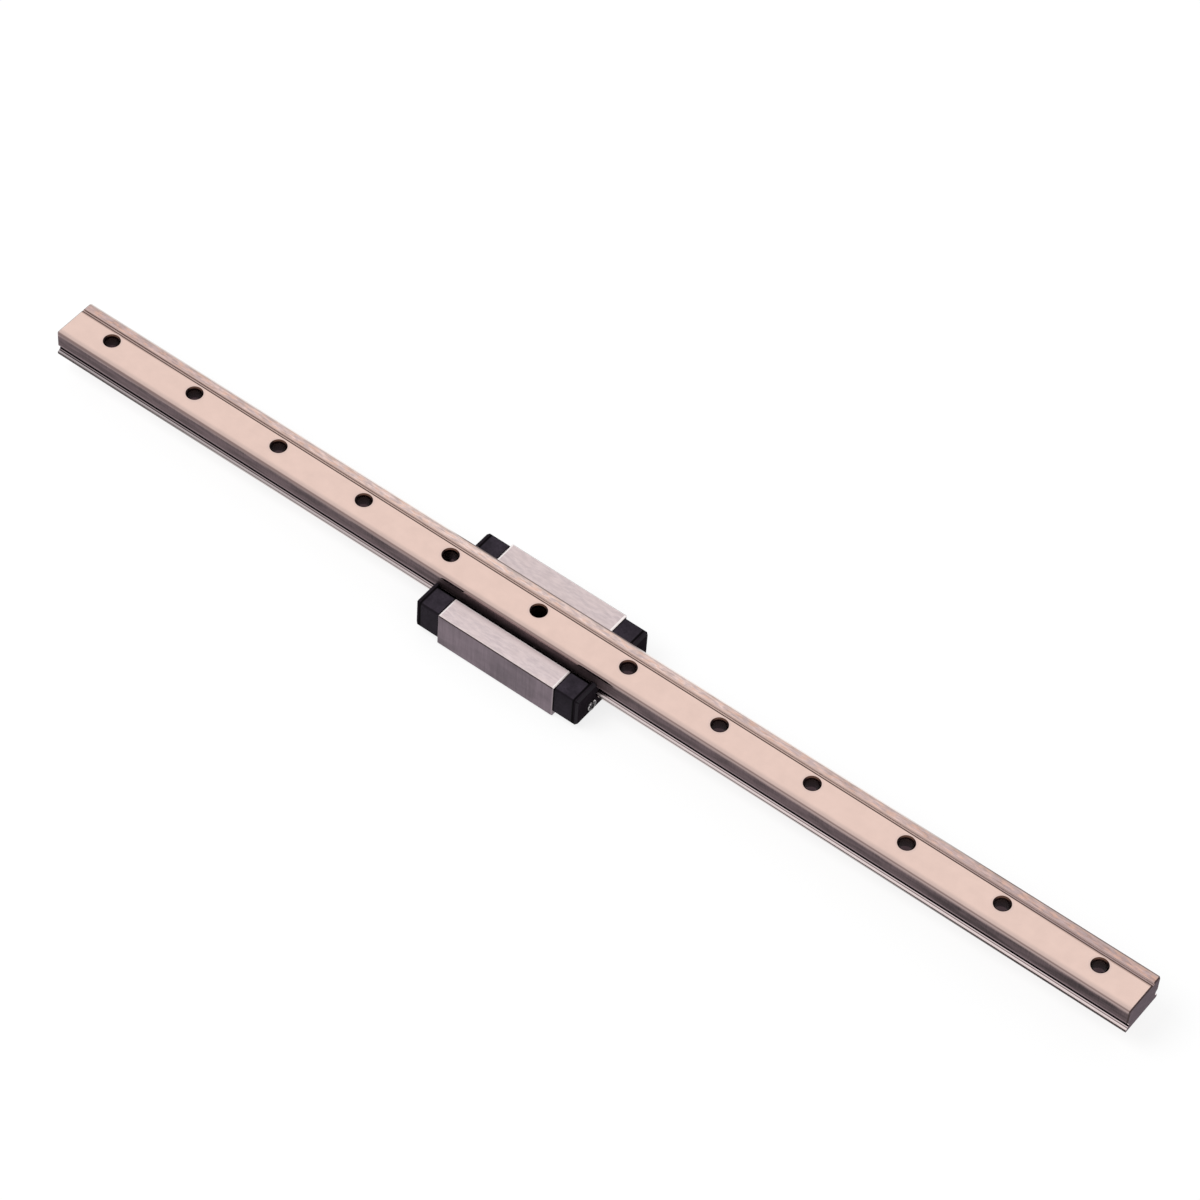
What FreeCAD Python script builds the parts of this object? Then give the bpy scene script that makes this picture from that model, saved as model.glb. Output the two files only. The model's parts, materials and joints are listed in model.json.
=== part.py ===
import FreeCAD, Part
import itertools
import math
import os

# A miniature profiled linear guide: a ground steel rail and its recirculating-ball carriage.
# X runs along the rail, Y across it and Z up. The guide lies upside down on the carriage's
# mounting face, which is at Z = 0, so the rail's base faces up. Sizes are in millimetres.

# Rail
RAIL_LENGTH = 298.2
RAIL_WIDTH = 12.0
RAIL_HEIGHT = 8.0
RAIL_BASE_FILLET = 0.6
RAIL_HEAD_CHAMFER = 0.5
RAIL_END_CHAMFER = 0.3

# Row of screw holes in the rail, centred on its length
HOLE_PITCH = 25.0
HOLE_END_DISTANCE = 6.0
HOLE_DIAMETER = 3.5
HOLE_RIM_CHAMFER = 0.25
COUNTERBORE_DIAMETER = 6.0
COUNTERBORE_DEPTH = 4.5

# Groove that marks the datum side in the rail's base
DATUM_GROOVE_OFFSET = 3.1
DATUM_GROOVE_WIDTH = 1.1
DATUM_GROOVE_FLOOR = 0.45
DATUM_GROOVE_DEPTH = 0.4

# Carriage block
GUIDE_HEIGHT = 13.0
CARRIAGE_PLACE = -14.1
BLOCK_LENGTH = 32.4
BLOCK_WIDTH = 27.0
BLOCK_HEIGHT = 10.0
BLOCK_MOUNT_CHAMFER = 0.6
BLOCK_EDGE_CHAMFER = 0.2
CHANNEL_SIDE_GAP = 0.7
CHANNEL_HEAD_GAP = 0.5
CHANNEL_MOUTH_CHAMFER = 0.57

# Tapped holes in the block's mounting face
TAP_SPACING_X = 20.0
TAP_SPACING_Y = 20.0
TAP_DRILL_DIAMETER = 2.5
TAP_DEPTH = 3.5

# Balls and raceways
BALL_DIAMETER = 2.38
BALL_FROM_RAIL_HEAD = 2.35
BALL_FROM_RAIL_SIDE = 0.25
BALL_SPACING = 0.05
RACEWAY_CONFORMITY = 0.53
RACEWAY_PLAY = 0.03
CONTACT_ANGLE = 45.0
RETURN_WALL = 1.5
RETURN_PLAY = 0.12

# End caps and end seals
CAP_LENGTH = 5.3
CAP_SIDE_INSET = 0.4
CAP_MOUNT_INSET = 1.3
CAP_MOUTH_INSET = 0.25
CAP_EDGE_FILLET = 0.8
SEAL_THICKNESS = 1.2
SEAL_EDGE_CHAMFER = 0.5
SEAL_RAIL_GAP = 0.15

# End screws
SCREW_FROM_CHANNEL = 0.8
SCREW_FROM_MOUNT = 3.6
SCREW_DIAMETER = 2.0
SCREW_PLAY = 0.05
SCREW_GRIP = 4.0
SCREW_HEAD_DIAMETER = 3.0
SCREW_HEAD_HEIGHT = 1.0
SCREW_POCKET_DEPTH = 0.5
SCREW_POCKET_PLAY = 0.2

# Places that follow from the sizes above
RAIL_BASE_Z = GUIDE_HEIGHT
RAIL_HEAD_Z = GUIDE_HEIGHT - RAIL_HEIGHT
BALL_RADIUS = BALL_DIAMETER / 2
BALL_Y = RAIL_WIDTH / 2 + BALL_FROM_RAIL_SIDE
BALL_Z = RAIL_HEAD_Z + BALL_FROM_RAIL_HEAD
RACEWAY_RADIUS = RACEWAY_CONFORMITY * BALL_DIAMETER
RACEWAY_SHIFT = RACEWAY_RADIUS - BALL_RADIUS - RACEWAY_PLAY
CHANNEL_HALF_WIDTH = RAIL_WIDTH / 2 + CHANNEL_SIDE_GAP
CHANNEL_FLOOR_Z = RAIL_HEAD_Z - CHANNEL_HEAD_GAP
SCREW_Y = CHANNEL_HALF_WIDTH + SCREW_FROM_CHANNEL
RETURN_RADIUS = BALL_RADIUS + RETURN_PLAY
RETURN_Y = BALL_Y + BALL_DIAMETER + RETURN_WALL
TURN_Y = (BALL_Y + RETURN_Y) / 2
TURN_RADIUS = (RETURN_Y - BALL_Y) / 2
CAP_HALF_WIDTH = BLOCK_WIDTH / 2 - CAP_SIDE_INSET
CAP_LOW_Z = CAP_MOUNT_INSET
CAP_HIGH_Z = BLOCK_HEIGHT - CAP_MOUTH_INSET
BLOCK_END = BLOCK_LENGTH / 2
CAP_END = BLOCK_END + CAP_LENGTH
SEAL_END = CAP_END + SEAL_THICKNESS

SIDES = {"near": -1, "far": 1}
ENDS = {"left": -1, "right": 1}
ALONG = FreeCAD.Vector(1, 0, 0)
UP = FreeCAD.Vector(0, 0, 1)
SAME_PLACE = 1e-6


def point(y, z, x=0.0):
    """A point of a cross-section in the YZ plane, at a place along the rail."""
    return FreeCAD.Vector(x, y, z)


def line(start, end):
    return Part.LineSegment(start, end).toShape()


def arc_about(centre, start, end):
    """The shorter arc round a centre from one point to another."""
    middle = (start - centre) + (end - centre)
    middle.normalize()
    return Part.Arc(start, centre + middle * (start - centre).Length, end).toShape()


def box(x_low, x_high, y_low, y_high, z_low, z_high):
    corner = FreeCAD.Vector(x_low, y_low, z_low)
    return Part.makeBox(x_high - x_low, y_high - y_low, z_high - z_low, corner)


def prism(edges, x_low, x_high):
    """Extrudes a closed cross-section along the rail."""
    face = Part.Face(Part.Wire(edges))
    face.translate(ALONG * x_low)
    return face.extrude(ALONG * (x_high - x_low))


def polygon(points):
    """The straight edges of a closed cross-section."""
    return [line(a, b) for a, b in zip(points, points[1:] + points[:1])]


def raceway(side, face_y, cut, radius):
    """The two arcs of a gothic raceway and its mouths, from high Z to low Z.

    cut is -1 where the groove goes into the rail and 1 where it goes into the block.
    The arcs' centres are shifted so that each flank meets the ball at the contact angle.
    """
    shift_y = RACEWAY_SHIFT * math.cos(math.radians(CONTACT_ANGLE))
    shift_z = RACEWAY_SHIFT * math.sin(math.radians(CONTACT_ANGLE))
    centre_y = BALL_Y - cut * shift_y
    mouth = math.sqrt(radius**2 - (face_y - centre_y) ** 2) - shift_z
    depth_y = centre_y + cut * math.sqrt(radius**2 - shift_z**2)
    cusp = point(side * depth_y, BALL_Z)
    high_mouth = point(side * face_y, BALL_Z + mouth)
    low_mouth = point(side * face_y, BALL_Z - mouth)
    high_arc = arc_about(point(side * centre_y, BALL_Z - shift_z), high_mouth, cusp)
    low_arc = arc_about(point(side * centre_y, BALL_Z + shift_z), cusp, low_mouth)
    return high_mouth, low_mouth, [high_arc, low_arc]


def rail_section(grow):
    """The rail's outline, grown outwards by a gap for what runs round it."""
    half = RAIL_WIDTH / 2 + grow
    high = RAIL_BASE_Z + grow
    low = RAIL_HEAD_Z - grow
    radius = RAIL_BASE_FILLET + grow
    half_base = half - radius
    half_head = half - RAIL_HEAD_CHAMFER
    edges = [
        line(point(-half_base, high), point(half_base, high)),
        line(point(-half_head, low), point(half_head, low)),
    ]
    for side in SIDES.values():
        base_turn = point(side * half_base, high - radius)
        base_flat = point(side * half_base, high)
        base_side = point(side * half, high - radius)
        head_side = point(side * half, low + RAIL_HEAD_CHAMFER)
        head_flat = point(side * half_head, low)
        high_mouth, low_mouth, arcs = raceway(side, half, -1, RACEWAY_RADIUS - grow)
        edges.append(arc_about(base_turn, base_flat, base_side))
        edges.append(line(base_side, high_mouth))
        edges.extend(arcs)
        edges.append(line(low_mouth, head_side))
        edges.append(line(head_side, head_flat))
    return Part.__sortEdges__(edges)


def hole_places():
    """Places of the screw holes along the rail: as many as fit between the end distances."""
    steps = int((RAIL_LENGTH - 2 * HOLE_END_DISTANCE) / HOLE_PITCH)
    return [(i - steps / 2) * HOLE_PITCH for i in range(steps + 1)]


def rail_hole(x):
    """A through hole with a countersunk rim at the base and a counterbore at the head."""
    radius = HOLE_DIAMETER / 2
    through = Part.makeCylinder(radius, RAIL_HEIGHT, point(0, RAIL_HEAD_Z, x), UP)
    bore = Part.makeCylinder(COUNTERBORE_DIAMETER / 2, COUNTERBORE_DEPTH, point(0, RAIL_HEAD_Z, x), UP)
    rim_start = point(0, RAIL_BASE_Z - HOLE_RIM_CHAMFER, x)
    rim = Part.makeCone(radius, radius + HOLE_RIM_CHAMFER, HOLE_RIM_CHAMFER, rim_start, UP)
    return through.fuse([bore, rim])


def end_edges(shape, x):
    """The edges round a shape's end face."""
    return [edge for edge in shape.Edges if all(abs(vertex.X - x) < SAME_PLACE for vertex in edge.Vertexes)]


def make_rail():
    half_length = RAIL_LENGTH / 2
    bar = prism(rail_section(0.0), -half_length, half_length)
    mouth_half = DATUM_GROOVE_WIDTH / 2
    floor_half = DATUM_GROOVE_FLOOR / 2
    floor_z = RAIL_BASE_Z - DATUM_GROOVE_DEPTH
    groove = polygon(
        [
            point(DATUM_GROOVE_OFFSET - mouth_half, RAIL_BASE_Z),
            point(DATUM_GROOVE_OFFSET - floor_half, floor_z),
            point(DATUM_GROOVE_OFFSET + floor_half, floor_z),
            point(DATUM_GROOVE_OFFSET + mouth_half, RAIL_BASE_Z),
        ]
    )
    flat_ends = [
        edge
        for x in (-half_length, half_length)
        for edge in end_edges(bar, x)
        if abs(edge.Vertexes[0].Z - edge.Vertexes[1].Z) < SAME_PLACE
    ]
    bar = bar.makeChamfer(RAIL_END_CHAMFER, flat_ends)
    cuts = [prism(groove, -half_length, half_length)]
    cuts.extend(rail_hole(x) for x in hole_places())
    return bar.cut(cuts)


def channel(x_low, x_high, high_z):
    """The space that the rail runs through, with a chamfered mouth at its open side."""
    half = CHANNEL_HALF_WIDTH
    mouth_half = half + CHANNEL_MOUTH_CHAMFER
    lip_z = high_z - CHANNEL_MOUTH_CHAMFER
    profile = [
        point(-half, CHANNEL_FLOOR_Z),
        point(half, CHANNEL_FLOOR_Z),
        point(half, lip_z),
        point(mouth_half, high_z),
        point(-mouth_half, high_z),
        point(-half, lip_z),
    ]
    return prism(polygon(profile), x_low, x_high)


def block_raceway(side):
    """The raceway that is ground into the channel's wall."""
    high_mouth, low_mouth, arcs = raceway(side, CHANNEL_HALF_WIDTH, 1, RACEWAY_RADIUS)
    return prism(arcs + [line(low_mouth, high_mouth)], -BLOCK_END, BLOCK_END)


def tapped_hole(x, y):
    """A blind hole in the mounting face, at its tap drill's size."""
    return Part.makeCylinder(TAP_DRILL_DIAMETER / 2, TAP_DEPTH, point(y, 0, x), UP)


def screw_round(end, side, start, length, radius):
    """A cylinder along the rail at the place of an end screw, for the screw or a hole for it."""
    place = point(side * SCREW_Y, SCREW_FROM_MOUNT, end * start)
    return Part.makeCylinder(radius, length, place, ALONG * end)


def make_block():
    half_width = BLOCK_WIDTH / 2
    body = box(-BLOCK_END, BLOCK_END, -half_width, half_width, 0, BLOCK_HEIGHT)
    body = body.makeChamfer(BLOCK_EDGE_CHAMFER, body.Edges)
    cuts = [channel(-BLOCK_END, BLOCK_END, BLOCK_HEIGHT)]
    for side in SIDES.values():
        cuts.append(block_raceway(side))
        bore_start = point(side * RETURN_Y, BALL_Z, -BLOCK_END)
        cuts.append(Part.makeCylinder(RETURN_RADIUS, BLOCK_LENGTH, bore_start, ALONG))
        cuts.append(mount_bevel(side))
        for end in ENDS.values():
            cuts.append(tapped_hole(end * TAP_SPACING_X / 2, side * TAP_SPACING_Y / 2))
            start = BLOCK_END - SCREW_GRIP
            cuts.append(screw_round(end, side, start, SCREW_GRIP, SCREW_DIAMETER / 2 + SCREW_PLAY))
    return body.cut(cuts)


def mount_bevel(side):
    """The wedge that bevels a long edge of the mounting face."""
    edge_y = side * BLOCK_WIDTH / 2
    inner_y = edge_y - side * BLOCK_MOUNT_CHAMFER
    wedge = polygon([point(edge_y, 0), point(edge_y, BLOCK_MOUNT_CHAMFER), point(inner_y, 0)])
    return prism(wedge, -BLOCK_END, BLOCK_END)


def plate(x_low, x_high):
    """A plate of the end caps' outline, with rounded long edges."""
    body = box(x_low, x_high, -CAP_HALF_WIDTH, CAP_HALF_WIDTH, CAP_LOW_Z, CAP_HIGH_Z)
    long_edges = [e for e in body.Edges if abs(e.Vertexes[0].X - e.Vertexes[1].X) > SAME_PLACE]
    return body.makeFillet(CAP_EDGE_FILLET, long_edges)


def ball_turn(end, side):
    """The ring-shaped passage that leads the balls from the raceway to the return bore."""
    floor = point(side * TURN_Y, BALL_Z - RETURN_RADIUS, end * BLOCK_END)
    ring = Part.makeCylinder(TURN_RADIUS + RETURN_RADIUS, 2 * RETURN_RADIUS, floor, UP)
    post = Part.makeCylinder(TURN_RADIUS - RETURN_RADIUS, 2 * RETURN_RADIUS, floor, UP)
    return ring.cut(post)


def make_cap(end):
    """An end cap: a turn for each ball row, a channel for the rail and two screw holes."""
    x_low, x_high = sorted((end * BLOCK_END, end * CAP_END))
    body = plate(x_low, x_high)
    cuts = [channel(x_low, x_high, CAP_HIGH_Z)]
    for side in SIDES.values():
        cuts.append(ball_turn(end, side))
        cuts.append(screw_round(end, side, BLOCK_END, CAP_LENGTH, SCREW_DIAMETER / 2 + SCREW_PLAY))
    return body.cut(cuts)


def make_seal(end):
    """An end seal: a bevelled plate whose lips follow the rail's section."""
    x_low, x_high = sorted((end * CAP_END, end * SEAL_END))
    body = plate(x_low, x_high)
    body = body.makeChamfer(SEAL_EDGE_CHAMFER, end_edges(body, end * SEAL_END))
    cuts = [prism(rail_section(SEAL_RAIL_GAP), x_low, x_high)]
    pocket_radius = SCREW_HEAD_DIAMETER / 2 + SCREW_POCKET_PLAY
    pocket_start = SEAL_END - SCREW_POCKET_DEPTH
    for side in SIDES.values():
        cuts.append(screw_round(end, side, CAP_END, SEAL_THICKNESS, SCREW_DIAMETER / 2 + SCREW_PLAY))
        cuts.append(screw_round(end, side, pocket_start, SCREW_POCKET_DEPTH, pocket_radius))
    return body.cut(cuts)


def make_screw(end, side):
    """A cheese-head screw through the seal and the cap into the block."""
    seat = SEAL_END - SCREW_POCKET_DEPTH
    start = BLOCK_END - SCREW_GRIP
    shank = screw_round(end, side, start, seat - start, SCREW_DIAMETER / 2)
    head = screw_round(end, side, seat, SCREW_HEAD_HEIGHT, SCREW_HEAD_DIAMETER / 2)
    return shank.fuse(head)


def make_ball():
    """A ball of 32 flats at the origin: an octahedron with each face split in four."""
    flats = []
    for x, y, z in itertools.product((-BALL_RADIUS, BALL_RADIUS), repeat=3):
        corners = FreeCAD.Vector(x, 0, 0), FreeCAD.Vector(0, y, 0), FreeCAD.Vector(0, 0, z)
        flats.extend(split_flat(*corners))
    ball = Part.Solid(Part.Shell(flats))
    if ball.Volume < 0:
        ball.reverse()
    return ball


def split_flat(a, b, c):
    """Four flat faces in place of one, with the new corners out on the ball."""
    ab, bc, ca = [(p + q).normalize() * BALL_RADIUS for p, q in ((a, b), (b, c), (c, a))]
    trios = ((a, ab, ca), (ab, b, bc), (ca, bc, c), (ab, bc, ca))
    return [Part.Face(Part.makePolygon(list(trio) + [trio[0]])) for trio in trios]


def circuit_place(run):
    """The place of a ball that has run some way round its circuit, as X and Y from the turn."""
    turn = math.pi * TURN_RADIUS
    if run < BLOCK_LENGTH:
        return run - BLOCK_END, -TURN_RADIUS
    run -= BLOCK_LENGTH
    if run < turn:
        angle = run / TURN_RADIUS
        return BLOCK_END + TURN_RADIUS * math.sin(angle), -TURN_RADIUS * math.cos(angle)
    run -= turn
    if run < BLOCK_LENGTH:
        return BLOCK_END - run, TURN_RADIUS
    angle = (run - BLOCK_LENGTH) / TURN_RADIUS
    return -BLOCK_END - TURN_RADIUS * math.sin(angle), TURN_RADIUS * math.cos(angle)


def make_ball_circuit(side):
    """An endless row of balls: along the raceway, round a cap, back through the block."""
    circuit = 2 * (BLOCK_LENGTH + math.pi * TURN_RADIUS)
    reach = (BALL_DIAMETER + BALL_SPACING) / (2 * TURN_RADIUS)
    pitch = 2 * TURN_RADIUS * math.asin(reach)
    count = int(circuit / pitch)
    ball = make_ball()
    balls = []
    for i in range(count):
        x, y = circuit_place(i * circuit / count)
        copy = ball.copy()
        copy.translate(point(side * (TURN_Y + y), BALL_Z, x))
        balls.append(copy)
    return Part.makeCompound(balls)


def save(name, shape, place=0.0):
    """Writes a piece, moved to its place along the rail."""
    shape = shape.copy()
    shape.translate(ALONG * place)
    shape.exportStep(f"parts/{name}.step")


def main():
    os.makedirs("parts", exist_ok=True)
    save("rail", make_rail())
    save("carriage_block", make_block(), CARRIAGE_PLACE)
    for end_name, end in ENDS.items():
        save(f"end_cap_{end_name}", make_cap(end), CARRIAGE_PLACE)
        save(f"end_seal_{end_name}", make_seal(end), CARRIAGE_PLACE)
        for side_name, side in SIDES.items():
            save(f"end_screw_{end_name}_{side_name}", make_screw(end, side), CARRIAGE_PLACE)
    for side_name, side in SIDES.items():
        save(f"ball_circuit_{side_name}", make_ball_circuit(side), CARRIAGE_PLACE)


main()
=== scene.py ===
import json
import math

import bmesh
import bpy
from mathutils import Matrix, Vector

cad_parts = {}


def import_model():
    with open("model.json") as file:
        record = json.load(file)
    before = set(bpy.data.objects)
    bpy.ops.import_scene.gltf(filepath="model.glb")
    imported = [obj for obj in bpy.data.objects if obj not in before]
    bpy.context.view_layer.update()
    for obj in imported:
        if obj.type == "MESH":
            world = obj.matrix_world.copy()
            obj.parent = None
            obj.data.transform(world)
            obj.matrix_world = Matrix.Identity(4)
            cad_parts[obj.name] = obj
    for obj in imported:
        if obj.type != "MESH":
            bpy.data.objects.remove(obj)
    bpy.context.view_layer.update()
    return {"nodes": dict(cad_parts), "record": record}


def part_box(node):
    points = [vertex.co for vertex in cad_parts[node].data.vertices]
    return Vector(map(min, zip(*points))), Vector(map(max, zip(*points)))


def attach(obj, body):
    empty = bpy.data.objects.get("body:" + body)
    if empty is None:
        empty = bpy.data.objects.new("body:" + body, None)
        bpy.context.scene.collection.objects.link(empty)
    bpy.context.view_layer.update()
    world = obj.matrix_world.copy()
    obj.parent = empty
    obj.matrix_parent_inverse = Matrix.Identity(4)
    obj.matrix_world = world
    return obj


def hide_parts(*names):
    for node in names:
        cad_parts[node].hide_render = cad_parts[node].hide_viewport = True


# Looks of a miniature linear guide: a ground steel rail that lies base up on its carriage.
# Lengths are in millimetres, and MM turns them into the scene's metres.
MM = 0.001

# Camera, with its angles in degrees
VIEW_AZIMUTH = 33.865
VIEW_ELEVATION = 50.92
VIEW_ROLL = 4.58
VIEW_DISTANCE = 1077.3
VIEW_TARGET = (-7.5, 16.5, 5.0)
LENS = 143.96
CLIP_START = 10.0

# Floor and light
FLOOR_SIZE = 6000.0
FLOOR_GAP = 0.05
FLOOR_TONE = 0.93
FLOOR_GLOW = 0.8
SKY_STRENGTH = 0.8
KEY_POWER = 9.0
KEY_SIZE = 900.0
KEY_PLACE = (-500.0, -500.0, 1100.0)

# Rail section. SLANT is the climb, per unit of depth, of the lines that join places of one level. Its
# value is the slope of this camera's line of sight across the rail, tan(elevation) / cos(azimuth), so
# the painted lines lie as the photograph shows them. It is a fixed number: the paint stays on the part.
GROOVE_NEAR = 2.55
GROOVE_FAR = 3.65
GROOVE_DEPTH = 0.4
RIM = 0.25
HOLE_RADIUS = 1.75
COUNTERBORE_RADIUS = 3.0
RACEWAY_TOP = 8.56
RACEWAY_LOW = 6.14
RACEWAY_MIDDLE = (RACEWAY_LOW + RACEWAY_TOP) / 2
RACEWAY_DEPTH = 1.0
SLANT = 1.48

# Carriage details
CHANNEL_MOUTH_HALF_WIDTH = 7.3
CHANNEL_FLOOR = 4.5
BALL_RADIUS = 1.19
BALL_SUBDIVISIONS = 3
BALLS_IN_CIRCUIT = 29
SCREW_HEAD_HEIGHT = 1.0
SCREW_HEAD_WALL = 0.4
SCREW_SHANK_RADIUS = 1.0
SCREW_SEGMENTS = 96
SCREW_DOME_STEPS = 26
TAP_DEPTH = 3.5
THREAD_PITCH = 0.5
THREAD_HEIGHT = 0.14
THREAD_START = 0.35
THREAD_FREE_TURNS = 1.5
THREAD_SEGMENTS = 24

# Tones of the small pieces, in 8-bit screen values
CAP_TONE = (46, 41, 48)
SEAL_TONE = (34, 29, 34)
# Painted highlight on the seal's bevel
SEAL_RIM_HIGHLIGHT = (44, 41, 45)
SCREW_DULL = (48, 45, 48)
# Painted highlights on the screws' rounded faces
SCREW_HIGHLIGHT = (208, 203, 204)
# The balls are painted dark as shade in the gap, with faint painted highlights
BALL_SHADE = (40, 38, 40)
BALL_HIGHLIGHT = (48, 46, 48)


def srgb(red, green, blue):
    """A colour given as 8-bit screen values, as the shaders take it."""

    def linear(value):
        value /= 255
        return value / 12.92 if value <= 0.04045 else ((value + 0.055) / 1.055) ** 2.4

    return linear(red), linear(green), linear(blue), 1.0


class Field:
    """A number that varies over a surface, with the arithmetic to combine it with others."""

    def __init__(self, paint, socket):
        self.paint = paint
        self.socket = socket

    def __add__(self, other):
        return self.paint.math("ADD", self, other)

    def __sub__(self, other):
        return self.paint.math("SUBTRACT", self, other)

    def __rsub__(self, other):
        return self.paint.math("SUBTRACT", other, self)

    def __mul__(self, other):
        return self.paint.math("MULTIPLY", self, other)

    def __abs__(self):
        return self.paint.math("ABSOLUTE", self)

    __radd__ = __add__

    def rise(self, low, high):
        """Goes smoothly from 0 at low to 1 at high."""
        node = self.paint.node("ShaderNodeMapRange", interpolation_type="SMOOTHSTEP")
        self.paint.feed(node.inputs["Value"], self)
        node.inputs["From Min"].default_value = low
        node.inputs["From Max"].default_value = high
        return Field(self.paint, node.outputs["Result"])

    def fall(self, low, high):
        """Goes smoothly from 1 at low to 0 at high."""
        return 1.0 - self.rise(low, high)

    def band(self, low, high, soft):
        """Is 1 between low and high, with soft edges."""
        return self.rise(low - soft, low + soft) * self.fall(high - soft, high + soft)


class Paint:
    """One material: fields of place, in millimetres, and of facing, and a colour laid on in coats."""

    def __init__(self, name, metallic, specular=0.5):
        self.material = bpy.data.materials.new(name)
        self.material.use_nodes = True
        self.tree = self.material.node_tree
        self.shader = self.tree.nodes["Principled BSDF"]
        self.shader.inputs["Metallic"].default_value = metallic
        self.shader.inputs["Specular IOR Level"].default_value = specular
        coordinates = self.node("ShaderNodeTexCoord")
        scale = self.node("ShaderNodeVectorMath", operation="SCALE")
        self.tree.links.new(coordinates.outputs["Object"], scale.inputs[0])
        scale.inputs["Scale"].default_value = 1 / MM
        self.millimetres = scale.outputs["Vector"]
        self.x, self.y, self.z = self.split(self.millimetres)
        self.nx, self.ny, self.nz = self.split(coordinates.outputs["Normal"])
        self.colour = None

    def node(self, kind, **settings):
        made = self.tree.nodes.new(kind)
        for name, value in settings.items():
            setattr(made, name, value)
        return made

    def feed(self, socket, value):
        """Sets a socket to a number or an 8-bit colour, or links it to a field or another socket."""
        if isinstance(value, Field):
            value = value.socket
        if isinstance(value, bpy.types.NodeSocket):
            self.tree.links.new(value, socket)
        else:
            socket.default_value = srgb(*value) if isinstance(value, tuple) else value

    def split(self, vector):
        parts = self.node("ShaderNodeSeparateXYZ")
        self.tree.links.new(vector, parts.inputs[0])
        return [Field(self, output) for output in parts.outputs]

    def math(self, operation, *values):
        node = self.node("ShaderNodeMath", operation=operation)
        for socket, value in zip(node.inputs, values):
            self.feed(socket, value)
        return Field(self, node.outputs[0])

    def noise(self, per_mm, detail=2.0, roughness=0.5):
        """Noise from 0 to 1, with its own number of grains per millimetre along X, Y and Z."""
        stretch = self.node("ShaderNodeVectorMath", operation="MULTIPLY")
        self.tree.links.new(self.millimetres, stretch.inputs[0])
        stretch.inputs[1].default_value = per_mm
        node = self.node("ShaderNodeTexNoise")
        self.tree.links.new(stretch.outputs["Vector"], node.inputs["Vector"])
        node.inputs["Scale"].default_value = 1.0
        node.inputs["Detail"].default_value = detail
        node.inputs["Roughness"].default_value = roughness
        return Field(self, node.outputs[0])

    def mix(self, share, first, second):
        """A colour that goes from the first to the second as share goes from 0 to 1."""
        node = self.node("ShaderNodeMixRGB")
        self.feed(node.inputs["Fac"], share)
        self.feed(node.inputs["Color1"], first)
        self.feed(node.inputs["Color2"], second)
        return node.outputs["Color"]

    def shade(self, colour, share):
        """A colour times a field that is near 1."""
        node = self.node("ShaderNodeVectorMath", operation="SCALE")
        self.feed(node.inputs[0], colour)
        self.feed(node.inputs["Scale"], share)
        return node.outputs["Vector"]

    def coat(self, share, tone):
        """Lays a tone over the colour so far, where share is 1."""
        self.colour = self.mix(share, self.colour, tone)

    def finish(self, roughness, height, depth):
        """Joins the colour, a roughness and a relief of that depth to the shader."""
        self.feed(self.shader.inputs["Base Color"], self.colour)
        self.feed(self.shader.inputs["Roughness"], roughness)
        bump = self.node("ShaderNodeBump")
        bump.inputs["Distance"].default_value = depth * MM
        self.feed(bump.inputs["Height"], height)
        self.tree.links.new(bump.outputs["Normal"], self.shader.inputs["Normal"])
        return self.material


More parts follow.
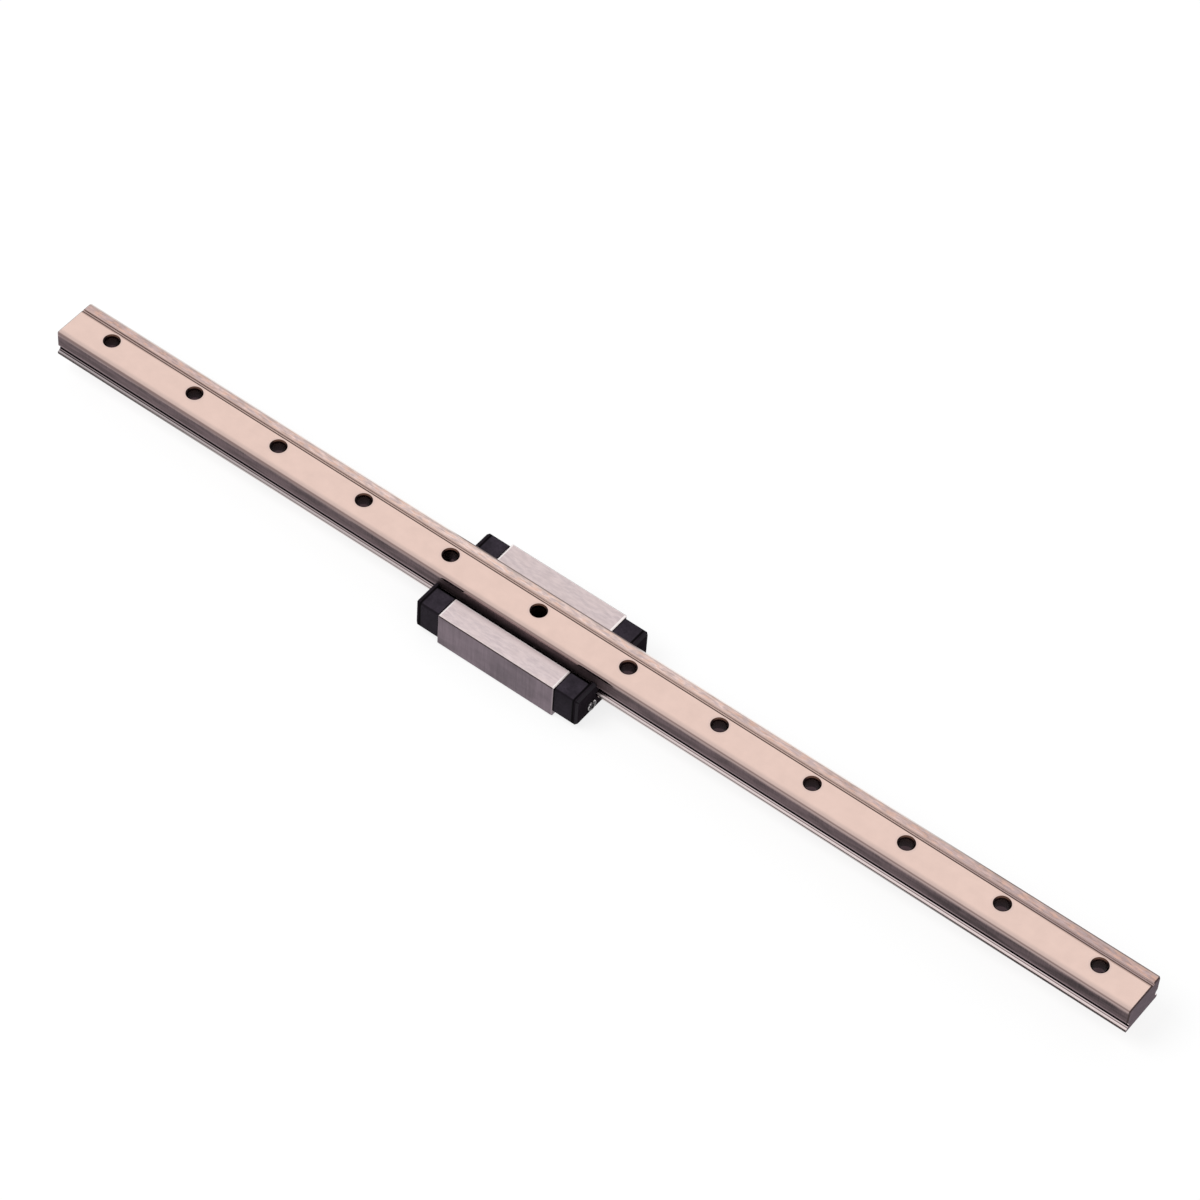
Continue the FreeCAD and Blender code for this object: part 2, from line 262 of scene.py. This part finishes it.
class RailPaint(Paint):
    """Ground steel: a pale base and a groove on one side, with darker sides and bright flanks in the
    raceways that are painted reflections.
    """

    def __init__(self):
        super().__init__("rail_steel", metallic=1.0)
        low, high = [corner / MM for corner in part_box("rail")]
        self.half_length, self.head_z, self.base_z = high.x, low.z, high.z

        # Place along the rail, from -1 at its left end to 1 at its right
        self.along = self.x * (1 / self.half_length)
        self.left = self.along.fall(-1.0, -0.45)
        self.right = self.along.rise(0.3, 0.85)
        self.past_left = self.along.rise(-1.1, 0.0)
        self.rightward = self.along.rise(-1.2, 0.7)

        # Depth behind the side's plane, and the level of a point: the height at which a line that
        # climbs outwards from it by SLANT meets that plane
        self.depth = high.y - abs(self.y)
        self.level = self.z + self.depth * SLANT

        groove_z = self.base_z - GROOVE_DEPTH
        self.on_base = self.z.rise(groove_z - 0.1, groove_z - 0.05) * self.nz.rise(-0.5, 0.0)
        self.on_end = abs(self.nx).rise(0.8, 0.95) * self.near_end(0.02, 0.01)
        self.lines = self.noise((0.1, 9.0, 9.0), detail=3.0)
        self.clouds = self.noise((0.35, 0.35, 0.35))

    def near_end(self, start, full):
        """Rises to 1 towards the rail's ends, between two distances from them."""
        return abs(self.x).rise(self.half_length - start, self.half_length - full)

    def coat_sides(self):
        """The sides, and the long edges from the sides over their rounding to the base. The sides are
        painted darker than the base as a reflection, with painted highlights and painted shade along the
        edges.
        """
        z, level, base_z = self.z, self.level, self.base_z
        upright = self.noise((5.0, 5.0, 0.3)).rise(0.3, 0.7)
        blotches = self.noise((0.12, 0.9, 0.9), detail=3.0, roughness=0.6).rise(0.35, 0.65)
        # Painted reflection: the sides darker than the base, paler towards the left end and darker towards
        # the right
        left_reflection_lift = self.left * (0.12 + z.rise(base_z - 3.5, base_z - 1.0) * 0.16)
        right_reflection_dim = self.right * z.fall(base_z - 1.8, base_z - 0.8) * 0.24
        side = self.mix(z.rise(base_z - 1.35, base_z - 0.85), (98, 83, 86), (128, 109, 108))
        self.colour = self.shade(side, 0.6 + left_reflection_lift - right_reflection_dim + upright * 0.28 + blotches * 0.52)
        # Painted highlights: a pale line above the raceway's mouth, and a glint below the rounding
        self.coat(level.band(RACEWAY_TOP + 0.08, RACEWAY_TOP + 0.5, 0.04) * 0.9, (136, 118, 122))
        glint = self.mix(self.rightward, (128, 109, 108), (168, 148, 145))
        self.coat(level.rise(base_z - 0.95, base_z - 0.55), glint)
        # Painted shade: a dark line and a darker band on the rounding, before the base's own tone
        self.coat(level.rise(base_z - 0.22, base_z - 0.02), (138, 117, 113))
        self.coat(level.rise(base_z + 0.1, base_z + 0.75), (207, 183, 175))
        self.coat(level.rise(base_z + 0.9, base_z + 2.6), (231, 203, 192))

    def coat_raceway(self):
        """Two flanks painted bright as reflections, a dark line between them, and painted black shade
        where it is deepest.
        """
        level = self.level + self.left * 0.08
        # Painted reflections: the flanks' bright tones, brighter towards the right end; the line between
        # them is darker towards the left end, and the foot takes some painted shade except towards the
        # right end
        upper = self.mix(self.rightward, (134, 120, 123), (216, 199, 200))
        lower = self.mix(self.rightward, (172, 163, 165), (232, 218, 217))
        track = self.mix(self.past_left, (22, 15, 17), (124, 108, 108))
        flank = self.mix(level.rise(RACEWAY_MIDDLE - 0.25, RACEWAY_MIDDLE + 0.1), lower, upper)
        flank = self.mix(level.band(RACEWAY_MIDDLE - 0.26, RACEWAY_MIDDLE + 0.15, 0.07), flank, track)
        foot = level.fall(RACEWAY_LOW + 0.06, RACEWAY_LOW + 0.46) * self.along.fall(0.3, 0.6)
        flank = self.mix(foot * 0.5, flank, (150, 140, 140))
        inside = self.depth.rise(0.004, 0.02) * self.depth.fall(RACEWAY_DEPTH + 0.05, RACEWAY_DEPTH + 0.1)
        self.coat(inside * self.z.band(RACEWAY_LOW, RACEWAY_TOP, 0.01), flank)
        # Painted shade: black in the deepest part of the raceway
        deepest = level.band(RACEWAY_TOP - 0.7, RACEWAY_TOP + 0.06, 0.05) * self.nz.rise(-0.3, -0.1)
        self.coat(deepest * self.depth.fall(RACEWAY_DEPTH, RACEWAY_DEPTH + 0.1), (7, 5, 6))

    def coat_lip(self):
        """The lip below the raceway, painted as a reflection: dark at the rail's ends, pale between them,
        with a darker edge of painted shade.
        """
        on_lip = self.z.fall(RACEWAY_LOW, RACEWAY_LOW + 0.06) * self.depth.fall(0.03, 0.06)
        # Painted reflection: the lip dark at the rail's ends and pale between them
        between = self.along.rise(-0.9, -0.5) * self.along.fall(0.3, 0.85)
        self.coat(on_lip, self.mix(between, (72, 65, 65), (234, 227, 226)))
        # Painted shade: a darker edge below the lip, darkest at the ends
        edge_shade_between = self.along.rise(-1.2, -0.3) * self.along.fall(0.2, 0.5)
        edge = self.mix(edge_shade_between, (52, 41, 40), (128, 119, 118))
        self.coat(on_lip * self.level.rise(RACEWAY_LOW - 0.32, RACEWAY_LOW - 0.22), edge)

    def coat_strip(self):
        """The uneven strip beyond the datum groove, with a painted highlight along its outer edge that
        gives way to painted shade over the carriage's place and towards the right end.
        """
        along, depth = self.along, self.depth
        streaks = self.noise((0.35, 2.2, 2.2), detail=3.0, roughness=0.6)
        tints = self.noise((0.5, 1.4, 1.4))
        middle = along.rise(-1.3, -0.1) * along.fall(-0.3, 1.2)
        strip = self.mix(middle, (184, 156, 151), (226, 203, 196))
        strip = self.shade(strip, 0.2 + streaks * 1.6)
        strip = self.mix(tints.rise(0.48, 0.66) * 0.5, strip, (228, 184, 162))
        strip = self.mix(tints.fall(0.34, 0.5) * 0.5, strip, (188, 170, 172))
        strip = self.mix(depth.fall(0.6, 1.3) * 0.3, strip, (182, 172, 164))
        # Painted highlight on the outer edge, a little dimmer at the left end, with painted shade over the
        # carriage's place and towards the right end
        bright = along.fall(0.5, 0.75) * (1.0 - along.band(-0.27, 0.08, 0.02)) * (1.0 - self.left * 0.28)
        rim = self.mix(bright, (124, 108, 105), (246, 238, 234))
        strip = self.mix(depth.fall(0.5, 0.62), strip, rim)
        beyond = self.y.rise(GROOVE_FAR - 0.02, GROOVE_FAR + 0.1) * depth.rise(0.05, 0.1)
        self.coat(beyond * self.on_base, strip)

    def coat_groove(self):
        """The datum groove in painted shade: black at its near edge, paler on its floor, with a darker
        line on its far flank.
        """
        across = self.y - (self.base_z - self.z) * (1 / SLANT)
        # Painted shade: the floor darker towards the ends, a darker line on the far flank that is darkest
        # towards the left end, black at the near edge, and a dull band beside it towards the ends
        shaded_groove_ends = self.left * 0.5 + self.along.rise(0.45, 0.85)
        floor = self.mix(shaded_groove_ends, (200, 174, 164), (170, 148, 146))
        wall = self.mix(self.past_left, (96, 74, 70), (168, 144, 138))
        self.coat(across.band(GROOVE_NEAR, GROOVE_FAR, 0.06) * self.on_base, floor)
        self.coat(across.band(GROOVE_NEAR + 0.58, GROOVE_NEAR + 0.84, 0.08) * self.on_base, wall)
        self.coat(across.band(GROOVE_NEAR - 0.07, GROOVE_NEAR + 0.2, 0.06) * self.on_base, (70, 53, 49))
        dull = across.band(GROOVE_NEAR - 0.3, GROOVE_NEAR, 0.2) * abs(self.along).rise(0.7, 0.95)
        self.coat(dull * self.on_base * 0.7, (138, 112, 105))

    def coat_head(self):
        """The head side, which faces down, with its bevels."""
        self.coat(self.nz.fall(-0.95, -0.8), (216, 197, 191))
        bevel = self.nz.band(-0.8, -0.6, 0.05) * self.z.fall(self.head_z + 0.6, self.head_z + 0.7)
        self.coat(bevel, (126, 111, 110))

    def coat_holes(self, pitch):
        """The row of holes: black-brown painted shade inside, a dark rim of painted shade with a painted
        glint on its far side, and a thin dull ring on the base.
        """
        z, rim_z = self.z, self.base_z - RIM
        hole_x = self.math("WRAP", self.x - pitch / 2, pitch / 2, -pitch / 2)
        radius = self.math("SQRT", hole_x * hole_x + self.y * self.y)
        ring = radius.band(HOLE_RADIUS + 0.36, HOLE_RADIUS + 0.8, 0.1)
        self.coat(ring * self.on_base * 0.5, (216, 193, 186))
        # Painted shade inside the holes: purple-grey deep down, brown near the top
        bore_shade = self.mix(z.rise(self.base_z - 3.0, self.base_z - 0.4), (64, 48, 53), (66, 44, 40))
        inside = z.fall(rim_z - 0.02, rim_z) * z.rise(self.head_z + 0.01, self.head_z + 0.05)
        self.coat(inside * radius.fall(COUNTERBORE_RADIUS, COUNTERBORE_RADIUS + 0.02), bore_shade)
        # Painted shade on the rim, with a painted glint on its far side
        rim = self.mix((self.y - hole_x * 0.5).rise(0.9, 2.0), (30, 20, 21), (92, 66, 56))
        self.coat(radius.fall(HOLE_RADIUS + 0.3, HOLE_RADIUS + 0.38) * self.on_base, rim)

    def coat_ends(self):
        """The sawn ends, with a dark line of painted shade along their bevelled edges."""
        sawn = self.noise((1.0, 0.5, 6.0), detail=3.0, roughness=0.6)
        tone = self.mix(sawn.rise(0.3, 0.7), (98, 84, 92), (120, 105, 112))
        self.coat(self.on_end, self.shade(tone, 0.88 + self.clouds * 0.24))
        # Painted shade: a dark line along the bevelled edges
        self.coat(abs(self.nx).band(0.4, 0.9, 0.1) * self.near_end(0.4, 0.35), (74, 60, 60))


def rail_steel(pitch):
    """The rail's material, for holes at that pitch."""
    paint = RailPaint()
    paint.coat_sides()
    paint.coat_raceway()
    paint.coat_lip()
    paint.coat_strip()
    paint.coat_groove()
    paint.coat_head()
    paint.coat_holes(pitch)
    paint.coat_ends()
    paint.colour = paint.shade(paint.colour, 0.92 + paint.lines * 0.04 + paint.clouds * 0.12)

    # Smooth in the raceways and on the edges, duller on the base, more so on the ground sides, and
    # matte on the sawn ends
    facing_z = abs(paint.nz)
    ground = paint.z.band(RACEWAY_TOP + 0.05, paint.base_z - 1.05, 0.1) * facing_z.fall(0.4, 0.9)
    roughness = 0.1 + facing_z.rise(0.6, 0.95) * 0.18 + ground * 0.4 + paint.lines * 0.1
    roughness = roughness + paint.on_end * (0.8 - roughness)
    return paint.finish(roughness, height=paint.lines + paint.clouds * 0.4, depth=0.004)


def block_steel():
    """Ground block: pale mottled faces up and down, darker brushed sides that are a painted reflection,
    and painted highlights on the short edges.
    """
    paint = Paint("block_steel", metallic=1.0)
    facing_x, facing_y, facing_z = abs(paint.nx), abs(paint.ny), abs(paint.nz)
    low, high = [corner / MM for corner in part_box("carriage_block")]
    brushed = paint.noise((0.5, 7.0, 7.0), detail=4.0, roughness=0.65)
    mottle = paint.noise((0.4, 1.3, 1.3), detail=4.0, roughness=0.6)
    upright = paint.noise((1.6, 1.6, 0.12), detail=3.0, roughness=0.6)
    clouds = paint.noise((0.12, 0.25, 0.25))
    off_middle = abs(paint.y)

    # Faces beside the channel: mottled, with painted highlights along the channel and the short edges, and
    # a little painted shade on the far side
    flat = paint.mix(mottle.rise(0.3, 0.7), (206, 191, 193), (231, 215, 215))
    flat = paint.shade(flat, 0.9 + brushed * 0.2)
    flat = paint.mix(clouds.rise(0.35, 0.7) * 0.4, flat, (226, 208, 206))
    near_channel_highlight = paint.y.band(-CHANNEL_MOUTH_HALF_WIDTH - 1.7, 0.0, 0.8)
    flat = paint.mix(near_channel_highlight * 0.6, flat, (246, 229, 228))
    flat = paint.shade(flat, 1.0 - paint.y.rise(0.0, 0.1) * 0.09)
    half_length = (high.x - low.x) / 2
    short_edge_highlight = abs(paint.x - (low.x + high.x) / 2).rise(half_length - 0.55, half_length - 0.4)
    flat = paint.mix(short_edge_highlight * 0.85, flat, (252, 246, 245))
    channel_edge_highlight = off_middle.fall(CHANNEL_MOUTH_HALF_WIDTH + 0.1, CHANNEL_MOUTH_HALF_WIDTH + 0.3)
    flat = paint.mix(channel_edge_highlight * 0.7, flat, (252, 246, 246))

    # Mounting face, which faces down, with its grinding lines
    ground = paint.mix(mottle.rise(0.2, 0.8), (206, 192, 192), (226, 212, 211))
    ground = paint.shade(ground, 0.84 + brushed * 0.32)
    flat = paint.mix(paint.nz.rise(-0.2, 0.2), ground, flat)
    # Painted highlight along the outer long edges
    flat = paint.mix(off_middle.rise(high.y - 0.34, high.y - 0.28) * 0.8, flat, (244, 232, 230))

    # Sides, edges and the shaded inside of the channel. The darker sides are a painted reflection; the
    # sloped faces at the ends and the corners carry painted highlights, the sloped faces along the sides
    # and the inside of the channel painted shade.
    side = paint.mix(clouds.rise(0.3, 0.7), (106, 94, 101), (122, 108, 116))
    side = paint.shade(side, 0.59 + brushed * 0.2 + upright * 0.62)
    paint.colour = paint.mix(facing_z.rise(0.8, 0.95), side, flat)
    sloped = facing_z.band(0.3, 0.85, 0.05)
    paint.coat(sloped * facing_x.rise(0.4, 0.6), (246, 236, 234))
    paint.coat(sloped * facing_y.rise(0.4, 0.6), (72, 60, 62))
    corner = facing_x.band(0.3, 0.85, 0.05) * facing_y.band(0.3, 0.85, 0.05)
    paint.coat(corner, (150, 137, 142))
    inside = paint.z.rise(CHANNEL_FLOOR - 0.5, CHANNEL_FLOOR - 0.3) * paint.z.fall(high.z - 0.02, high.z)
    inside = inside * off_middle.fall(CHANNEL_MOUTH_HALF_WIDTH - 0.02, CHANNEL_MOUTH_HALF_WIDTH)
    paint.coat(inside, (30, 24, 26))

    paint.colour = paint.shade(paint.colour, 0.97 + brushed * 0.06)
    return paint.finish(0.3 + mottle * 0.2, height=brushed + mottle * 0.5, depth=0.01)


def black_plastic(name, tone, rim, joints, specular):
    """Moulded black plastic or rubber, finely grained, with dark joints; its sides and long edges are
    darkened with painted shade, and its bevels take a rim tone.
    """
    paint = Paint(name, metallic=0.0, specular=specular)
    facing_x, facing_y, facing_z = abs(paint.nx), abs(paint.ny), abs(paint.nz)
    grain = paint.noise((5.0, 5.0, 5.0), detail=3.0)
    clouds = paint.noise((0.3, 0.3, 0.3))
    speckle = paint.noise((1.8, 1.8, 1.8), detail=3.0, roughness=0.7)
    darker, paler = [tuple(share * value for value in tone) for share in (0.9, 1.1)]
    plain = paint.mix(clouds.rise(0.3, 0.7), darker, paler)
    plain = paint.shade(plain, 0.4 + speckle * 1.2)
    # Painted shade: the sides darker than the top and bottom
    paint.colour = paint.shade(plain, 1.0 - facing_y.rise(0.8, 0.95) * 0.42)
    # The bevels take the rim tone, which on the seal is a painted highlight
    paint.coat(facing_x.band(0.4, 0.9, 0.1), rim)
    # Painted shade on the long rounded edges
    long_edge_shade = facing_y.band(0.35, 0.9, 0.08) * facing_z.band(0.35, 0.9, 0.08)
    paint.coat(long_edge_shade * 0.8, (18, 15, 18))
    for place in joints:
        paint.coat(abs(paint.x - place).fall(0.16, 0.34), (12, 10, 12))
    return paint.finish(0.5 + grain * 0.2, height=grain, depth=0.015)


def bright_steel(name, dull, bright, roughness):
    """Plated or polished steel, dull on its flat faces, with painted highlights in spots on its rounded
    ones.
    """
    paint = Paint(name, metallic=1.0)
    grain = paint.noise((3.0, 3.0, 3.0), detail=3.0)
    rounded = abs(paint.nx).band(0.3, 0.9, 0.08)
    # Painted highlights in spots on the rounded faces; for the balls the dull tone is painted shade
    paint.colour = paint.mix(rounded * grain.rise(0.42, 0.6), dull, bright)
    return paint.finish(roughness + grain * 0.1, height=grain, depth=0.003)


def add_object(name, data):
    """A new object in the scene, for a mesh, a camera or a lamp."""
    made = bpy.data.objects.new(name, data)
    bpy.context.scene.collection.objects.link(made)
    return made


def new_piece(name, mesh_maker, material):
    """A mesh object that rides on the carriage."""
    mesh = bpy.data.meshes.new(name)
    shape = bmesh.new()
    mesh_maker(shape)
    bmesh.ops.recalc_face_normals(shape, faces=shape.faces)
    shape.to_mesh(mesh)
    shape.free()
    mesh.materials.append(material)
    piece = add_object(name, mesh)
    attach(piece, "carriage")
    return piece


def join_rings(shape, rings):
    """A closed skin over rings of vertices: faces between neighbours, and one over each end."""
    for first, second in zip(rings, rings[1:]):
        count = len(first)
        for i in range(count):
            j = (i + 1) % count
            shape.faces.new((first[i], first[j], second[j], second[i]))
    shape.faces.new(rings[0])
    shape.faces.new(rings[-1])


def screw_profile(radius, shank_length):
    """Radius and height above the seat, from the shank's end over the pan head to its middle."""
    shank = SCREW_SHANK_RADIUS
    dome = SCREW_HEAD_HEIGHT - SCREW_HEAD_WALL
    fullness = 0.6
    profile = [(shank, -shank_length), (shank, 0.0), (radius, 0.0), (radius, SCREW_HEAD_WALL)]
    for i in range(1, SCREW_DOME_STEPS):
        angle = math.radians(90) * i / SCREW_DOME_STEPS
        profile.append((radius * math.cos(angle), SCREW_HEAD_WALL + dome * math.sin(angle) ** fullness))
    return profile


def recess_depth(u, v, radius):
    """Depth of the cross recess in a screw head at a point of its face."""
    arm = 0.13 * radius
    reach = 0.62 * radius
    wall = 0.05 * radius
    deepest = 0.62 * SCREW_HEAD_HEIGHT
    taper = 0.45
    along, across = max(abs(u), abs(v)), min(abs(u), abs(v))
    in_arm = min(1.0, max(0.0, (arm + wall - across) / wall))
    in_reach = min(1.0, max(0.0, (reach - along) / (2 * wall)))
    return deepest * in_arm * in_reach * (1.0 - taper * along / reach)


def make_screw(node, material):
    """A pan-head screw with a cross recess in place of a plain one."""
    low, high = [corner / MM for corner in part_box(node)]
    end = 1 if "right" in node else -1
    tip = high.x if end > 0 else low.x
    seat = tip - end * SCREW_HEAD_HEIGHT
    middle = (low + high) / 2
    radius = (high.y - low.y) / 2
    shank_length = high.x - low.x - SCREW_HEAD_HEIGHT

    def build(shape):
        rings = []
        for ring_radius, height in screw_profile(radius, shank_length):
            ring = []
            for i in range(SCREW_SEGMENTS):
                angle = 2 * math.pi * (i + 0.5) / SCREW_SEGMENTS
                u, v = ring_radius * math.cos(angle), ring_radius * math.sin(angle)
                sunk = recess_depth(u, v, radius) if height > 0 else 0.0
                place = Vector((seat + end * (height - sunk), middle.y + u, middle.z + v))
                ring.append(shape.verts.new(place * MM))
            rings.append(ring)
        join_rings(shape, rings)

    piece = new_piece(node + "_cross", build, material)
    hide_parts(node)


def ball_places(node):
    """Centres of the balls of one circuit, in millimetres."""
    low, high = [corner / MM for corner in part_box(node)]
    block_low, block_high = [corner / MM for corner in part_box("carriage_block")]
    middle_x = (block_low.x + block_high.x) / 2
    straight = block_high.x - block_low.x
    middle_y = (low.y + high.y) / 2
    turn = (high.y - low.y) / 2 - BALL_RADIUS
    level = (low.z + high.z) / 2
    out = 1 if middle_y > 0 else -1
    circuit = 2 * (straight + math.pi * turn)
    for i in range(BALLS_IN_CIRCUIT):
        run = i * circuit / BALLS_IN_CIRCUIT
        half = 1 if run < circuit / 2 else -1
        run %= circuit / 2
        bend = max(0.0, run - straight) / turn
        x = min(run, straight) - straight / 2 + turn * math.sin(bend)
        y = -turn * math.cos(bend)
        yield Vector((middle_x + half * x, middle_y + out * half * y, level))


def make_balls(node, material):
    """Round bearing balls in place of faceted ones."""

    def build(shape):
        for place in ball_places(node):
            spot = Matrix.Translation(place * MM)
            bmesh.ops.create_icosphere(
                shape, subdivisions=BALL_SUBDIVISIONS, radius=BALL_RADIUS * MM, matrix=spot
            )
        for face in shape.faces:
            face.smooth = True

    piece = new_piece(node + "_round", build, material)
    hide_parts(node)


def make_thread(name, place, radius, material):
    """The ridge of a screw thread in a tapped hole: a triangle that winds up the wall."""
    steps = int(THREAD_SEGMENTS * (TAP_DEPTH / THREAD_PITCH - THREAD_FREE_TURNS))
    spread = Vector((0, 0, 0.4 * THREAD_PITCH))

    def build(shape):
        rings = []
        for i in range(steps + 1):
            angle = 2 * math.pi * i / THREAD_SEGMENTS
            height = Vector((0, 0, THREAD_START + THREAD_PITCH * i / THREAD_SEGMENTS))
            out = Vector((math.cos(angle), math.sin(angle), 0.0))
            crest = place + out * (radius - THREAD_HEIGHT) + height
            foot = place + out * radius + height
            section = (crest, foot + spread, foot - spread)
            rings.append([shape.verts.new(corner * MM) for corner in section])
        join_rings(shape, rings)

    new_piece(name, build, material)


def make_threads(record, material):
    """A thread in each of the block's tapped holes."""
    taps = next(mount for mount in record["mounts"] if mount["name"] == "carriage_taps")
    middle = Vector(taps["pos_m"]) / MM
    sizes = taps["dims"]
    for i, end in enumerate((-1, 1)):
        for j, side in enumerate((-1, 1)):
            offset = Vector((end * sizes["spacing_x_mm"] / 2, side * sizes["spacing_y_mm"] / 2, 0))
            make_thread(f"tap_thread_{2 * i + j + 1}", middle + offset, sizes["hole_r_mm"], material)


def make_camera():
    """A camera that looks at VIEW_TARGET and is turned about its own axis by VIEW_ROLL."""
    azimuth, elevation, roll = map(math.radians, (VIEW_AZIMUTH, VIEW_ELEVATION, VIEW_ROLL))
    back = Vector(
        (
            math.sin(azimuth) * math.cos(elevation),
            -math.cos(azimuth) * math.cos(elevation),
            math.sin(elevation),
        )
    )
    level_right = Vector((0, 0, 1)).cross(back).normalized()
    level_up = back.cross(level_right)
    right = math.cos(roll) * level_right + math.sin(roll) * level_up
    up = math.cos(roll) * level_up - math.sin(roll) * level_right
    data = bpy.data.cameras.new("camera")
    data.lens = LENS
    data.clip_start = CLIP_START * MM
    camera = add_object("camera", data)
    turn = Matrix((right, up, back)).transposed().to_4x4()
    camera.matrix_world = Matrix.Translation((Vector(VIEW_TARGET) + back * VIEW_DISTANCE) * MM) @ turn
    bpy.context.scene.camera = camera


def seen_directly(tree):
    """1 for what the camera sees, also in a mirror or through glass, and 0 for the light on things."""
    path = tree.nodes.new("ShaderNodeLightPath")
    share = path.outputs["Is Camera Ray"]
    for ray in ("Is Glossy Ray", "Is Transmission Ray"):
        larger = tree.nodes.new("ShaderNodeMath")
        larger.operation = "MAXIMUM"
        tree.links.new(share, larger.inputs[0])
        tree.links.new(path.outputs[ray], larger.inputs[1])
        share = larger.outputs[0]
    return share


def make_floor():
    """A pale floor. To the eye it is part glow, which keeps it white and its shadow soft."""
    material = bpy.data.materials.new("floor")
    material.use_nodes = True
    tree = material.node_tree
    matte = tree.nodes["Principled BSDF"]
    matte.inputs["Base Color"].default_value = (FLOOR_TONE, FLOOR_TONE, FLOOR_TONE, 1)
    matte.inputs["Roughness"].default_value = 1.0
    matte.inputs["Specular IOR Level"].default_value = 0.0
    glow = tree.nodes.new("ShaderNodeEmission")
    blend = tree.nodes.new("ShaderNodeMixShader")
    share = tree.nodes.new("ShaderNodeMath")
    share.operation = "MULTIPLY"
    tree.links.new(seen_directly(tree), share.inputs[0])
    share.inputs[1].default_value = FLOOR_GLOW
    tree.links.new(share.outputs[0], blend.inputs["Fac"])
    tree.links.new(matte.outputs["BSDF"], blend.inputs[1])
    tree.links.new(glow.outputs["Emission"], blend.inputs[2])
    tree.links.new(blend.outputs["Shader"], tree.nodes["Material Output"].inputs["Surface"])

    mesh = bpy.data.meshes.new("floor")
    half = FLOOR_SIZE / 2 * MM
    level = -FLOOR_GAP * MM
    places = [(-half, -half, level), (half, -half, level), (half, half, level), (-half, half, level)]
    mesh.from_pydata(places, [], [(0, 1, 2, 3)])
    mesh.materials.append(material)
    floor = add_object("floor", mesh)


def make_light():
    """An even white sky and one large soft lamp from the upper left."""
    world = bpy.data.worlds.new("sky")
    bpy.context.scene.world = world
    world.use_nodes = True
    tree = world.node_tree
    sky = tree.nodes["Background"]
    sky.inputs["Color"].default_value = (1, 1, 1, 1)
    sky.inputs["Strength"].default_value = SKY_STRENGTH
    bright = tree.nodes.new("ShaderNodeBackground")
    bright.inputs["Color"].default_value = (1, 1, 1, 1)
    blend = tree.nodes.new("ShaderNodeMixShader")
    tree.links.new(seen_directly(tree), blend.inputs["Fac"])
    tree.links.new(sky.outputs["Background"], blend.inputs[1])
    tree.links.new(bright.outputs["Background"], blend.inputs[2])
    tree.links.new(blend.outputs["Shader"], tree.nodes["World Output"].inputs["Surface"])

    data = bpy.data.lights.new("key", "AREA")
    data.shape = "DISK"
    data.size = KEY_SIZE * MM
    data.energy = KEY_POWER
    key = add_object("key", data)
    place = Vector(KEY_PLACE) * MM
    key.matrix_world = Matrix.Translation(place) @ place.to_track_quat("Z", "Y").to_matrix().to_4x4()
    key.visible_glossy = False


def main():
    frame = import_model()
    nodes, record = frame["nodes"], frame["record"]
    block = block_steel()
    # The two holes beside the rail's middle are one pitch apart
    pitch = min(m["dims"]["spacing_x_mm"] for m in record["mounts"] if m["name"].startswith("rail_holes"))
    nodes["rail"].material_slots[0].material = rail_steel(pitch)
    nodes["carriage_block"].material_slots[0].material = block
    for end in ("left", "right"):
        joints = [corner.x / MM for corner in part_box(f"end_cap_{end}")]
        cap = black_plastic(f"cap_plastic_{end}", CAP_TONE, CAP_TONE, joints, specular=0.02)
        seal = black_plastic(f"seal_rubber_{end}", SEAL_TONE, SEAL_RIM_HIGHLIGHT, joints, specular=0.0)
        nodes[f"end_cap_{end}"].material_slots[0].material = cap
        nodes[f"end_seal_{end}"].material_slots[0].material = seal
    screw = bright_steel("screw_steel", SCREW_DULL, SCREW_HIGHLIGHT, roughness=0.16)
    ball = bright_steel("ball_steel", BALL_SHADE, BALL_HIGHLIGHT, roughness=0.1)
    for node in nodes:
        if node.startswith("end_screw"):
            make_screw(node, screw)
        if node.startswith("ball_circuit"):
            make_balls(node, ball)
    make_threads(record, block)
    make_camera()
    make_floor()
    make_light()
    bpy.context.scene.view_settings.view_transform = "Standard"


main()
